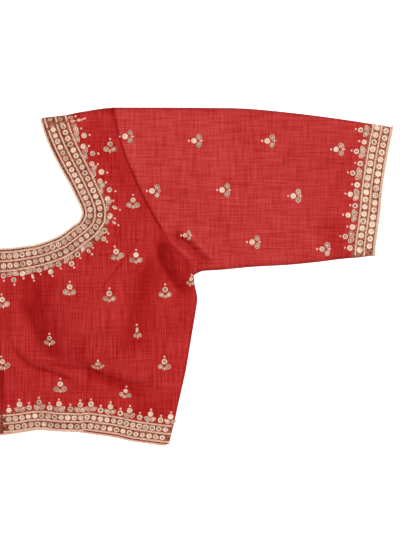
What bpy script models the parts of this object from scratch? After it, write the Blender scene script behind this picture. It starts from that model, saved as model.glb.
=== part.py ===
"""Choli blouse laid flat with its front uppermost, built in Blender: metres, +Z up from the surface it lies on.

Two fronts lap at the centre, over a back of one piece, with two elbow sleeves. Every neck, hem and cuff edge
has a fine round piping. +X is the wearer's left and +Y runs from the hem to the shoulders. All the tables are
in millimetres.
"""

import bmesh
import bpy
import numpy as np

MM = 0.001

# Cloth, seams and edges
WALL = 1.2            # silk with its lining
SEAM_GAP = 0.3        # clear space between two pieces that are sewn together
PIPE_RADIUS = 0.9
PIPE_CENTRE = SEAM_GAP + PIPE_RADIUS
LAP = 12.0            # width of the right front that runs on under the left front
LAP_EDGE = {"neck": -4.0, "hem": 2.4}  # x of the left front's centre edge
LAP_RISE = WALL + SEAM_GAP
LAP_FADE = (18.0, 40.0)  # distance from the centre over which the left front comes down again
LAP_CLEAR = {"left": 3.0, "right": 5.0, "fade": 12.0}  # folds start beyond these distances from the centre
LAP_POINTS = 6        # points of an edge that hold its start
PIPE_STARTS = {  # distance from the centre, to the piece's own side, where its piping starts
    ("left", "neck"): -4.0, ("left", "hem"): 2.4, ("right", "neck"): 4.8, ("right", "hem"): -1.6,
}
PIPE_STOPS = 2.0      # the piping ends this far in from a folded edge
PIPE_SPACING = 1.0    # least distance from the piping's start to its next point
BACK_NECK_DROP = 3.0  # the back neckline is cut this much wider, so it stays behind the front one

# Folded edges: the surface turns from the underside to the top side round a soft nose
NOSE_LOW = 1.8        # height of the widest point, and the radius below it
NOSE_WIDTH = 8.0      # how far in the upper side of the nose reaches
BACK_RIM, FRONT_RIM = NOSE_LOW - 0.2, NOSE_LOW + 0.2
NOSE_STEPS = (0.0, 0.03, 0.5, 1.8, 4.2, 8.0)  # distances in from a folded edge where the cages have a row
UNDER_STEPS = (0.0, 0.03, 0.3, 0.9, 1.8)      # the same on the underside

# Heights of the outer surface above the table
BASE_HEIGHT = 6.9
LEAST_HEIGHT = 4.4
FOLD_TAPER = 0.3      # share of a fold's length over which each end dies away

# Outline of the wearer's left half: cloth edges, without the piping
NECK_EDGE = (  # x, y: centre front, scooped corner, shoulder
    (-4.0, 30.2), (13.1, 30.9), (27.3, 32.7), (41.4, 35.0), (55.3, 39.4), (69.4, 45.7), (83.5, 56.2),
    (91.2, 61.7), (95.5, 71.2), (93.7, 80.3), (87.6, 93.2), (80.7, 107.1), (69.1, 127.8), (58.8, 148.4),
    (51.6, 167.0), (47.3, 182.7),
)
SHOULDER = (  # x, y: neck to armhole
    (47.3, 182.7), (61.5, 184.3), (75.3, 186.0), (89.1, 188.9), (102.9, 191.2), (116.7, 193.4), (129.6, 194.6),
)
ARMHOLE = (  # x, y: shoulder to underarm
    (129.6, 194.6), (131.7, 178.6), (135.9, 161.9), (144.8, 134.4), (160.2, 99.2), (177.7, 66.1), (190.3, 46.3),
    (201.8, 30.2), (212.2, 19.9), (217.9, 13.0), (222.0, 0.9),
)
SIDE_SEAM = (  # x, y: underarm to hem
    (222.0, 0.9), (223.7, -11.2), (226.4, -25.0), (224.8, -38.8), (221.4, -59.5), (217.9, -80.2),
    (213.3, -107.8), (208.7, -128.5), (204.1, -149.2), (199.5, -169.9), (193.9, -193.1),
)
HEM_EDGE = (  # x, y: centre front to side seam
    (2.4, -180.4), (20.1, -178.1), (33.9, -175.8), (47.7, -174.7), (61.5, -175.8), (89.1, -177.0),
    (109.8, -179.8), (130.5, -182.7), (151.2, -187.3), (178.8, -191.3), (193.9, -193.1),
)
SLEEVE_TOP = (  # x, y: shoulder to cuff
    (129.6, 194.6), (192.6, 194.5), (240.0, 194.2), (282.3, 193.3), (330.6, 188.9), (385.8, 182.0),
    (449.8, 172.2),
)
SLEEVE_UNDER = (  # x, y: underarm to cuff
    (222.0, 0.9), (227.1, 3.8), (234.0, 6.1), (254.7, 7.4), (289.2, 10.7), (330.6, 13.0), (365.1, 16.4),
    (392.7, 19.9), (413.4, 21.6), (428.9, 23.8),
)
CUFF_EDGE = (  # x, y: top to underside of the arm
    (449.8, 172.2), (443.5, 140.9), (437.8, 106.3), (434.3, 71.7), (429.8, 38.0), (428.9, 23.8),
)

# Soft swellings of the upper side: centre, reach to each side, height at the centre
SWELLINGS = (  # name, x, y, reach to -x, to +x, to -y, to +y, height
    ("bust", 104.0, -50.0, 78.0, 112.0, 78.0, 86.0, 12.0),
    ("waist", 96.0, -150.0, 92.0, 100.0, 90.0, 62.0, 1.5),
    ("underarm", 205.0, 18.0, 40.0, 34.0, 34.0, 34.0, -1.6),
    ("sleeve", 300.0, 98.0, 150.0, 330.0, 110.0, 110.0, 1.6),
)

# Largest folds of the upper side, raised or sunk along a line
FOLDS = (  # name, half-width, height, points x, y
    ("roll below the bust", 8.0, 1.7, ((8, -38), (14, -68), (28, -88), (50, -99), (80, -106))),
    ("hollow below the roll", 7.0, -1.0, ((8, -68), (18, -90), (34, -104), (60, -114), (92, -130))),
    ("crease below the bust", 8.0, -2.2, ((66, -103), (96, -107), (122, -116), (152, -126), (188, -132))),
    ("hollow beside the bust", 14.0, -1.6, ((20, -22), (32, -52), (48, -88))),
    ("underarm crease", 9.0, -2.2, ((178, 36), (194, 22), (208, 2), (218, -24))),
    ("sleeve head crease", 9.0, -2.0, ((190, 48), (212, 38), (230, 24), (242, 10))),
    ("sleeve slant", 10.0, -0.7, ((188, 78), (200, 96), (230, 112))),
    ("sleeve middle", 10.0, -1.1, ((324, 176), (334, 154), (322, 132), (312, 108))),
    ("sleeve near the cuff", 10.0, -1.0, ((398, 130), (386, 110), (374, 88))),
)
OTHER_SIDE = {"shift": (-4.0, 5.0), "share": 0.85}   # the wearer's right half is creased a little differently

# Cages: columns as shares from the centre to the side, rows up the side, and stations along the sleeve
FRONT_COLUMNS = (0.0, 0.055, 0.11, 0.165, 0.22, 0.275, 0.33, 0.38, 0.42, 0.455, 0.49, 0.53, 0.58, 0.64, 0.70,
                 0.76, 0.82, 0.88, 0.94)
BACK_COLUMNS = (0.0, 0.13, 0.27, 0.37, 0.44, 0.485, 0.54, 0.64, 0.80)
SIDE_ROWS, SHOULDER_ROWS = 14, 6
ARMHOLE_PLACES = (1.0, 0.972, 0.94, 0.9, 0.85, 0.79, 0.72, 0.64, 0.56, 0.48, 0.40, 0.32, 0.24, 0.16, 0.08, 0.0)
SLEEVE_STATIONS = 15
CURVE_STEPS = 8       # points made between two of a table
RELAX_ROUNDS = 300
NARROW_SHARE = 0.8    # share of a narrow cell that the columns of a nose may take
CORNER_CLEAR = 2.0    # a corner point replaces the outline's points nearer than this
WELD = 0.01           # points closer than this are one

COLOURS = {  # red, green, blue, roughness, metallic
    "silk": (0.55, 0.030, 0.028, 0.62, 0.0),
    "piping": (0.72, 0.56, 0.34, 0.45, 0.35),
}


def smooth_line(points, steps=CURVE_STEPS):
    """Even Catmull-Rom line through the points."""
    p = np.array(points, dtype=float)
    p = np.vstack([2 * p[0] - p[1], p, 2 * p[-1] - p[-2]])
    t = np.linspace(0, 1, steps, endpoint=False)[:, None]
    pieces = []
    for a, b, c, d in zip(p[:-3], p[1:-2], p[2:-1], p[3:]):
        square = 2 * a - 5 * b + 4 * c - d
        cube = 3 * b - a - 3 * c + d
        pieces.append((2 * b + (c - a) * t + square * t**2 + cube * t**3) / 2)
    return np.vstack(pieces + [p[-2:-1]])


def lengths(line):
    return np.concatenate([[0.0], np.cumsum(np.linalg.norm(np.diff(line, axis=0), axis=1))])


def at_fractions(line, fractions):
    """Points of a line at fractions of its length."""
    run = lengths(line)
    wanted = np.asarray(fractions) * run[-1]
    return np.column_stack([np.interp(wanted, run, line[:, 0]), np.interp(wanted, run, line[:, 1])])


def nearest(points, line):
    """Distance from each point to a line, and how far along the line that is, from 0 to 1."""
    a, step = line[:-1], np.diff(line, axis=0)
    run = lengths(line)
    span = np.einsum("ij,ij->i", step, step)
    away = points[:, None, :] - a[None]
    t = np.clip(np.einsum("nij,ij->ni", away, step) / span, 0, 1)
    gap = np.linalg.norm(away - t[..., None] * step, axis=2)
    best = gap.argmin(axis=1)
    rows = np.arange(len(points))
    along = (run[best] + t[rows, best] * np.sqrt(span[best])) / run[-1]
    return gap[rows, best], along


def moved_sideways(line, distance):
    """The line moved to its left by a distance."""
    ahead = np.gradient(line, axis=0)
    ahead /= np.linalg.norm(ahead, axis=1)[:, None]
    return line + distance * np.column_stack([-ahead[:, 1], ahead[:, 0]])


def ease(t):
    t = np.clip(t, 0, 1)
    return t * t * (3 - 2 * t)


LINES = {name: smooth_line(points) for name, points in {
    "neck": NECK_EDGE, "shoulder": SHOULDER, "armhole": ARMHOLE, "side": SIDE_SEAM, "hem": HEM_EDGE,
    "sleeve_top": SLEEVE_TOP, "sleeve_under": SLEEVE_UNDER, "cuff": CUFF_EDGE}.items()}
FOLDED_EDGES = [LINES[name] for name in ("shoulder", "side", "sleeve_top", "sleeve_under")]
FOLD_LINES = [(half_width, height, smooth_line(points)) for _, half_width, height, points in FOLDS]


def one_side_relief(points):
    """Swellings and folds of the wearer's left half."""
    total = np.zeros(len(points))
    for _, x, y, less_x, more_x, less_y, more_y, height in SWELLINGS:
        dx, dy = points[:, 0] - x, points[:, 1] - y
        reach = (dx / np.where(dx < 0, less_x, more_x))**2 + (dy / np.where(dy < 0, less_y, more_y))**2
        total += height * np.clip(1 - reach, 0, 1)**2
    for half_width, height, line in FOLD_LINES:
        gap, along = nearest(points, line)
        taper = ease(np.minimum(along, 1 - along) / FOLD_TAPER)
        total += height * taper * np.exp(-(gap / half_width)**2)
    return total


def open_height(points):
    """Height of the outer surface without the nose at the folded edges; the lap at the centre stays even."""
    x = points[:, 0]
    left_share = ease((x - LAP_CLEAR["left"]) / LAP_CLEAR["fade"])
    right_share = ease((-x - LAP_CLEAR["right"]) / LAP_CLEAR["fade"]) * OTHER_SIDE["share"]
    mirrored = points * (-1, 1) + OTHER_SIDE["shift"]
    relief = left_share * one_side_relief(points) + right_share * one_side_relief(mirrored)
    return np.maximum(BASE_HEIGHT + relief, LEAST_HEIGHT)


def edge_distance(points):
    """Distance in from the nearest folded edge, on either half."""
    half = np.abs(points[:, 0])[:, None] * (1, 0) + points[:, 1][:, None] * (0, 1)
    return np.min([nearest(half, line)[0] for line in FOLDED_EDGES], axis=0)


def nose(share):
    """Quarter round from 0 at the edge to 1."""
    return np.sqrt(1 - (1 - np.clip(share, 0, 1))**2)


def top_height(points, rim=FRONT_RIM):
    return rim + (open_height(points) - rim) * nose(edge_distance(points) / NOSE_WIDTH)


def under_height(points, rim=BACK_RIM):
    return rim * (1 - nose(edge_distance(points) / rim))


def half_outline(centre_neck_x, centre_hem_x, neck_drop=0.0):
    """Hem, side to shoulder, and neck of half the body, each from the centre outwards or the hem upwards."""
    neck, hem = LINES["neck"], LINES["hem"]
    if neck_drop:
        neck = moved_sideways(neck, -neck_drop)
        keep = nearest(neck[-1:], LINES["shoulder"])[1]
        neck[-1] = at_fractions(LINES["shoulder"], keep)[0]
    neck = np.vstack([[centre_neck_x, neck[0, 1]], neck[neck[:, 0] > centre_neck_x + CORNER_CLEAR]])
    hem = np.vstack([[centre_hem_x, hem[0, 1]], hem[hem[:, 0] > centre_hem_x + CORNER_CLEAR]])
    return hem, neck


def outer_chain(shoulder_start):
    """Points up the side seam, armhole and shoulder, hem first; the armhole keeps half the seam's gap clear."""
    inside = moved_sideways(LINES["armhole"], -SEAM_GAP / 2)
    side = at_fractions(LINES["side"], np.linspace(1, 0, SIDE_ROWS + 1))
    armhole = at_fractions(inside, ARMHOLE_PLACES)
    shoulder = at_fractions(LINES["shoulder"], np.linspace(1, shoulder_start, SHOULDER_ROWS + 1))
    return np.vstack([side[:-1], armhole, shoulder[1:]])


def relaxed(grid, rounds=RELAX_ROUNDS):
    """Evens out the inside of a plan grid whose border stays, by elliptic smoothing, which can't fold."""
    for _ in range(rounds):
        across = (grid[1:-1, 2:] - grid[1:-1, :-2]) / 2
        upwards = (grid[2:, 1:-1] - grid[:-2, 1:-1]) / 2
        weight_across = np.sum(upwards**2, axis=2, keepdims=True)
        weight_up = np.sum(across**2, axis=2, keepdims=True)
        shear = np.sum(across * upwards, axis=2, keepdims=True)
        corners = grid[2:, 2:] - grid[2:, :-2] - grid[:-2, 2:] + grid[:-2, :-2]
        beside = grid[1:-1, 2:] + grid[1:-1, :-2]
        above = grid[2:, 1:-1] + grid[:-2, 1:-1]
        sums = weight_across * beside + weight_up * above - shear * corners / 2
        grid[1:-1, 1:-1] = sums / (2 * (weight_across + weight_up))
    return grid


def with_nose_columns(grid, steps):
    """Extra columns between the last two, at short distances in from the folded edge."""
    inner, edge = grid[:, -2], grid[:, -1]
    width = np.linalg.norm(edge - inner, axis=1)
    extra = []
    for step in reversed(steps):
        reach = np.minimum(step, NARROW_SHARE * width * step / steps[-1]) / width
        extra.append(edge + (inner - edge) * reach[:, None])
    return np.stack(list(np.moveaxis(grid[:, :-1], 1, 0)) + extra, axis=1)


def body_plan(centre_neck_x, centre_hem_x, columns, steps, neck_drop=0.0):
    """Plan points of half the body as rows by columns, between hem, centre, neck and outer edge."""
    hem, neck = half_outline(centre_neck_x, centre_hem_x, neck_drop)
    outer = outer_chain(nearest(neck[-1:], LINES["shoulder"])[1][0])
    u = np.append(columns, 1.0)[None, :, None]
    v = np.linspace(0, 1, len(outer))[:, None, None]
    centre = hem[0] + v[:, 0] * (neck[0] - hem[0])
    bottom, top = at_fractions(hem, u.ravel()), at_fractions(neck, u.ravel())
    corners = (1 - v) * ((1 - u) * hem[0] + u * hem[-1]) + v * ((1 - u) * neck[0] + u * neck[-1])
    plan = (1 - v) * bottom + v * top + (1 - u) * centre[:, None] + u * outer[:, None] - corners
    return with_nose_columns(relaxed(plan), steps)


def sleeve_plan():
    """Plan points of the sleeve as stations by rows, for its upper and its lower side."""
    curve = moved_sideways(LINES["armhole"], SEAM_GAP / 2)
    armhole = at_fractions(curve, ARMHOLE_PLACES)[::-1]    # the same points as the fronts and back have
    top, under, cuff = LINES["sleeve_top"], LINES["sleeve_under"], LINES["cuff"]
    run = lengths(armhole)
    shared = run[1:-1] / run[-1]
    sides = []
    for steps in (NOSE_STEPS, UNDER_STEPS):
        ends = np.array([step for step in steps if step != steps[1]]) / run[-1]
        v = np.concatenate([ends, shared[(shared > ends[-1]) & (shared < 1 - ends[-1])], 1 - ends[::-1]])
        v = v[:, None]
        stations = []
        for u in np.linspace(0, 1, SLEEVE_STATIONS):
            left, right = at_fractions(armhole, v.ravel()), at_fractions(cuff, v.ravel())
            high, low = at_fractions(top, [u])[0], at_fractions(under, [u])[0]
            corners = ((1 - u) * ((1 - v) * armhole[0] + v * armhole[-1])
                       + u * ((1 - v) * cuff[0] + v * cuff[-1]))
            stations.append((1 - u) * left + u * right + (1 - v) * high + v * low - corners)
        sides.append(np.array(stations))
    return sides


def lifted(plan, heights):
    """Rows by columns of 3-D points from a plan and a height function."""
    flat = plan.reshape(-1, 2)
    return np.column_stack([flat, heights(flat)]).reshape(*plan.shape[:2], 3)


def left_front_height(points):
    """The wearer's left front lies on the right one at the centre, and comes down away from it."""
    near, far = LAP_FADE
    return top_height(points) + LAP_RISE * (1 - ease((np.abs(points[:, 0]) - near) / (far - near)))


def material(name):
    red, green, blue, rough, metal = COLOURS[name]
    made = bpy.data.materials.new(name)
    made.use_nodes = True
    shader = made.node_tree.nodes["Principled BSDF"]
    shader.inputs["Base Color"].default_value = (red, green, blue, 1.0)
    shader.inputs["Roughness"].default_value = rough
    shader.inputs["Metallic"].default_value = metal
    return made


def linked(name, data, slot):
    made = bpy.data.objects.new(name, data)
    made.data.materials.append(material(slot))
    COLLECTION.objects.link(made)
    return made


def cloth(name, points, outwards_up, joined_round=False, mirrored=False):
    """A grid cage laid on the outer points, thickened inwards by the cloth's wall."""
    rows, columns = points.shape[:2]
    cage = bmesh.new()
    bmesh.ops.create_grid(cage, x_segments=columns - 1, y_segments=rows - 1, size=1.0)
    for vertex in cage.verts:
        column = round((vertex.co.x + 1) / 2 * (columns - 1))
        row = round((vertex.co.y + 1) / 2 * (rows - 1))
        vertex.co = points[row, column] * MM
    if joined_round:
        bmesh.ops.remove_doubles(cage, verts=cage.verts, dist=WELD * MM)
    if not outwards_up:
        bmesh.ops.reverse_faces(cage, faces=cage.faces)
    mesh = bpy.data.meshes.new(name)
    cage.to_mesh(mesh)
    cage.free()
    mesh.shade_smooth()
    made = linked(name, mesh, "silk")
    if mirrored:
        mirror = made.modifiers.new("other half", "MIRROR")
        mirror.merge_threshold = WELD * MM
    wall = made.modifiers.new("wall", "SOLIDIFY")
    wall.thickness = WALL * MM
    wall.offset = -1.0
    return made


def piping(name, path, round_loop=False):
    """A round tube along a path of points."""
    curve = bpy.data.curves.new(name, "CURVE")
    curve.dimensions = "3D"
    curve.bevel_depth = PIPE_RADIUS * MM
    curve.bevel_resolution = 1
    curve.use_fill_caps = not round_loop
    line = curve.splines.new("POLY")
    line.points.add(len(path) - 1)
    for point, place in zip(line.points, path):
        point.co = (*(place * MM), 1.0)
    line.use_cyclic_u = round_loop
    return linked(name, curve, "piping")


def piping_path(edge, away, drop=WALL / 2):
    """Centre line of the piping on a cloth edge: out from the edge in plan, at the middle of its wall."""
    out = moved_sideways(edge[:, :2], away)
    return np.column_stack([out, np.maximum(edge[:, 2] - drop, PIPE_RADIUS)])


def flipped(points):
    return points * (-1, 1, 1)


def build_fronts():
    """Both fronts and their neck and hem piping; the right one is made in the mirror and turned back."""
    neck_x, hem_x = LAP_EDGE["neck"], LAP_EDGE["hem"]
    left = lifted(body_plan(neck_x, hem_x, FRONT_COLUMNS, NOSE_STEPS), left_front_height)
    mirrored = body_plan(-neck_x - LAP, -hem_x - LAP, FRONT_COLUMNS, NOSE_STEPS)
    right = lifted(mirrored * (-1, 1), top_height)
    cloth("front_left", left, outwards_up=True)
    cloth("front_right", right, outwards_up=False)
    for side, grid, turn in (("left", left, 1), ("right", right, -1)):
        for edge_name, edge, away in (("neck", grid[-1], PIPE_CENTRE), ("hem", grid[0], -PIPE_CENTRE)):
            path = piping_path(edge, away * turn)
            from_centre = path[:, 0] * turn
            begin = PIPE_STARTS[side, edge_name]
            first = [np.interp(begin, from_centre[:LAP_POINTS], path[:LAP_POINTS, axis]) for axis in range(3)]
            clear = (from_centre > begin + PIPE_SPACING) & (edge_distance(path[:, :2]) > PIPE_STOPS)
            piping(f"{edge_name}_piping_{side}", np.vstack([first, path[clear]]))


def build_back():
    half = lifted(body_plan(0.0, 0.0, BACK_COLUMNS, UNDER_STEPS, BACK_NECK_DROP), under_height)
    half[:, 0, 0] = 0.0
    cloth("back", half, outwards_up=False, mirrored=True)
    for edge_name, edge, away in (("neck", half[-1], PIPE_CENTRE), ("hem", half[0], -PIPE_CENTRE)):
        path = piping_path(edge, away)
        path = path[edge_distance(path[:, :2]) > PIPE_STOPS]
        path[0, 0] = 0.0
        piping(f"{edge_name}_piping_back", np.vstack([flipped(path[:0:-1]), path]))


def build_sleeves():
    """A flattened tube each: its upper side goes down the arm's front, its lower side comes back."""
    upper, lower = sleeve_plan()
    over = lifted(upper, lambda points: top_height(points, NOSE_LOW))
    below = lifted(lower, lambda points: under_height(points, NOSE_LOW))
    ring = np.concatenate([over, below[:, -2:0:-1], over[:, :1]], axis=1)
    for side, points in (("left", ring), ("right", flipped(ring))):
        cloth(f"sleeve_{side}", points, outwards_up=side == "left", joined_round=True)
        cuff, before = points[-1, :-1], points[-2, :-1]
        out = cuff - before
        out /= np.linalg.norm(out, axis=1)[:, None]
        round_step = np.roll(cuff, -1, axis=0) - np.roll(cuff, 1, axis=0)
        inward = np.cross(round_step, out) * (1 if side == "left" else -1)
        inward /= np.linalg.norm(inward, axis=1)[:, None]
        path = cuff + out * PIPE_CENTRE + inward * WALL / 2
        path[:, 2] = np.maximum(path[:, 2], PIPE_RADIUS)
        piping(f"cuff_piping_{side}", path, round_loop=True)


for old in list(bpy.data.objects):
    bpy.data.objects.remove(old)
COLLECTION = bpy.data.collections.new("choli_blouse")
bpy.context.scene.collection.children.link(COLLECTION)
build_fronts()
build_back()
build_sleeves()
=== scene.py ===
import math
import bmesh
import bpy
import numpy as np
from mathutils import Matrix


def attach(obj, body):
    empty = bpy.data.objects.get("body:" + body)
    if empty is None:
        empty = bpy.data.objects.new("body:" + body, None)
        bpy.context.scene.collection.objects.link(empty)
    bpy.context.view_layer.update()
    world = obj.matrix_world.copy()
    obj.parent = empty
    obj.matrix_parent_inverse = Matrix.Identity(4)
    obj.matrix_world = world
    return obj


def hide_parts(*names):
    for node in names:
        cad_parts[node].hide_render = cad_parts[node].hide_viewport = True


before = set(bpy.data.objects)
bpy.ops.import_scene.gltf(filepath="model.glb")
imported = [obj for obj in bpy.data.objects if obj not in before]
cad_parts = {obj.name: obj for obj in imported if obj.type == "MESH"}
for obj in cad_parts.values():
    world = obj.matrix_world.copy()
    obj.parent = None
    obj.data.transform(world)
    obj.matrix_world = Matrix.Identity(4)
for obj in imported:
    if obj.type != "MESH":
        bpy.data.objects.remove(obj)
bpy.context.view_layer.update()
mm = 0.001
print("frame loaded with", len(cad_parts), "nodes")


# Camera: straight above the half that shows, with a long lens. All sizes below are millimetres.

overhead = {"x": 229.4, "y": 11.3, "z": 6.0, "distance": 2500.0, "frameHeight": 613.0, "sensor": 36.0}


def makeCamera():
    data = bpy.data.cameras.new("overheadCamera")
    data.sensor_width = overhead["sensor"]
    data.lens = overhead["sensor"] * overhead["distance"] / overhead["frameHeight"]
    camera = bpy.data.objects.new("overheadCamera", data)
    camera.location = (overhead["x"] * mm, overhead["y"] * mm, (overhead["z"] + overhead["distance"]) * mm)
    bpy.context.scene.collection.objects.link(camera)
    bpy.context.scene.camera = camera


makeCamera()
print("camera set")


# Plan of the wearer's left half: cloth edges, without the piping. x from the centre, y from the underarm.

cut = {
    "neck": (  # centre front, scooped corner, shoulder
        (-4.0, 30.2), (13.1, 30.9), (27.3, 32.7), (41.4, 35.0), (55.3, 39.4), (69.4, 45.7), (83.5, 56.2),
        (91.2, 61.7), (95.5, 71.2), (93.7, 80.3), (87.6, 93.2), (80.7, 107.1), (69.1, 127.8), (58.8, 148.4),
        (51.6, 167.0), (47.3, 182.7)),
    "shoulder": (  # neck to armhole
        (47.3, 182.7), (61.5, 184.3), (75.3, 186.0), (89.1, 188.9), (102.9, 191.2), (116.7, 193.4),
        (129.6, 194.6)),
    "armhole": (  # shoulder to underarm
        (129.6, 194.6), (131.7, 178.6), (135.9, 161.9), (144.8, 134.4), (160.2, 99.2), (177.7, 66.1),
        (190.3, 46.3), (201.8, 30.2), (212.2, 19.9), (217.9, 13.0), (222.0, 0.9)),
    "side": (  # underarm to hem
        (222.0, 0.9), (223.7, -11.2), (226.4, -25.0), (224.8, -38.8), (221.4, -59.5), (217.9, -80.2),
        (213.3, -107.8), (208.7, -128.5), (204.1, -149.2), (199.5, -169.9), (193.9, -193.1)),
    "hem": (  # centre front to side seam
        (2.4, -180.4), (20.1, -178.1), (33.9, -175.8), (47.7, -174.7), (61.5, -175.8), (89.1, -177.0),
        (109.8, -179.8), (130.5, -182.7), (151.2, -187.3), (178.8, -191.3), (193.9, -193.1)),
    "sleeveTop": (  # shoulder to cuff
        (129.6, 194.6), (192.6, 194.5), (240.0, 194.2), (282.3, 193.3), (330.6, 188.9), (385.8, 182.0),
        (449.8, 172.2)),
    "sleeveUnder": (  # underarm to cuff
        (222.0, 0.9), (227.1, 3.8), (234.0, 6.1), (254.7, 7.4), (289.2, 10.7), (330.6, 13.0), (365.1, 16.4),
        (392.7, 19.9), (413.4, 21.6), (428.9, 23.8)),
    "cuff": (  # top to underside of the arm
        (449.8, 172.2), (443.5, 140.9), (437.8, 106.3), (434.3, 71.7), (429.8, 38.0), (428.9, 23.8)),
}


def smoothLine(points, steps=8):
    p = np.array(points, dtype=float)
    p = np.vstack([2 * p[0] - p[1], p, 2 * p[-1] - p[-2]])
    t = np.linspace(0, 1, steps, endpoint=False)[:, None]
    made = [0.5 * (2 * b + (c - a) * t + (2 * a - 5 * b + 4 * c - d) * t**2 + (3 * b - a - 3 * c + d) * t**3)
            for a, b, c, d in zip(p[:-3], p[1:-2], p[2:-1], p[3:])]
    return np.vstack(made + [p[-2:-1]])


def runLengths(line):
    return np.concatenate([[0.0], np.cumsum(np.linalg.norm(np.diff(line, axis=0), axis=1))])


def atFractions(line, fractions):
    run = runLengths(line)
    wanted = np.asarray(fractions) * run[-1]
    return np.column_stack([np.interp(wanted, run, line[:, axis]) for axis in range(line.shape[1])])


def evenly(line, spacing):
    return atFractions(line, np.linspace(0, 1, max(2, round(runLengths(line)[-1] / spacing) + 1)))


def nearest(points, line):  # signed distance, positive to the line's left, and the share of its length run
    a, step = line[:-1], np.diff(line, axis=0)
    run = runLengths(line)
    span = np.einsum("ij,ij->i", step, step)
    away = points[:, None, :] - a[None]
    t = np.clip(np.einsum("nij,ij->ni", away, step) / span, 0, 1)
    gap = np.linalg.norm(away - t[..., None] * step, axis=2)
    best = gap.argmin(axis=1)
    rows = np.arange(len(points))
    side = step[best, 0] * away[rows, best, 1] - step[best, 1] * away[rows, best, 0]
    along = (run[best] + t[rows, best] * np.sqrt(span[best])) / run[-1]
    return np.where(side < 0, -1, 1) * gap[rows, best], along


def unit(rows):
    return rows / np.linalg.norm(rows, axis=1)[:, None]


def leftOf(line):
    ahead = unit(np.gradient(line, axis=0))
    return np.column_stack([-ahead[:, 1], ahead[:, 0]])


def movedSideways(line, distance):
    return line + distance * leftOf(line)


def ease(t):
    t = np.clip(t, 0, 1)
    return t * t * (3 - 2 * t)


def onLeftHalf(points):
    return np.column_stack([np.abs(points[:, 0]), points[:, 1]])


lines = {name: smoothLine(points) for name, points in cut.items()}
foldedEdges = [lines[name] for name in ("shoulder", "side", "sleeveTop", "sleeveUnder")]
pipingReach = 2.1   # how far the finished edge is outside the cloth's edge, about the piping's width
finished = {name: movedSideways(lines[name], side * pipingReach)
            for name, side in (("neck", 1), ("hem", -1), ("cuff", 1))}


# Heights of the cloth above the table

cloth = {
    "wall": 1.2, "base": 6.9, "least": 4.4, "leastCreased": 3.7, "backNeckDrop": 3.0,
    "noseWidth": 8.0, "noseLow": 1.8, "backRim": 1.6, "frontRim": 2.0,  # the round folded edges
    "lap": 12.0, "lapRise": 1.5, "lapNear": 18.0, "lapFar": 40.0, "lapNeckX": -4.0, "lapHemX": 2.4,
    "leftClear": 3.0, "rightClear": 5.0, "clearFade": 12.0,  # how far the relief stays from the lap
    "otherShift": (-4.0, 5.0), "otherShare": 0.85,  # the relief of the wearer's right half
    "creaseShare": 1.5, "cockleShare": 1.3, "lineTaper": 0.3, "lineReach": 3.0,
}

swellings = (  # name, x, y, reach to -x, to +x, to -y, to +y, height
    ("bust", 104.0, -50.0, 78.0, 112.0, 78.0, 86.0, 12.0),
    ("waist", 96.0, -150.0, 92.0, 100.0, 90.0, 62.0, 1.5),
    ("underarm", 205.0, 18.0, 40.0, 34.0, 34.0, 34.0, -1.6),
    ("sleeve", 300.0, 98.0, 150.0, 330.0, 110.0, 110.0, 1.6),
)

folds = (  # name, width to the line's left, to its right, height, points; the large ones, as in the solids
    ("roll below the bust", 8.0, 8.0, 1.7, ((8, -38), (14, -68), (28, -88), (50, -99), (80, -106))),
    ("hollow below the roll", 7.0, 7.0, -1.0, ((8, -68), (18, -90), (34, -104), (60, -114), (92, -130))),
    ("crease below the bust", 8.0, 8.0, -2.2,
     ((66, -103), (96, -107), (122, -116), (152, -126), (188, -132))),
    ("hollow beside the bust", 14.0, 14.0, -1.6, ((20, -22), (32, -52), (48, -88))),
    ("underarm crease", 9.0, 9.0, -2.2, ((178, 36), (194, 22), (208, 2), (218, -24))),
    ("sleeve head crease", 9.0, 9.0, -2.0, ((190, 48), (212, 38), (230, 24), (242, 10))),
    ("sleeve slant", 10.0, 10.0, -0.7, ((188, 78), (200, 96), (230, 112))),
    ("sleeve middle", 10.0, 10.0, -1.1, ((324, 176), (334, 154), (322, 132), (312, 108))),
    ("sleeve near the cuff", 10.0, 10.0, -1.0, ((398, 130), (386, 110), (374, 88))),
)

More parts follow.
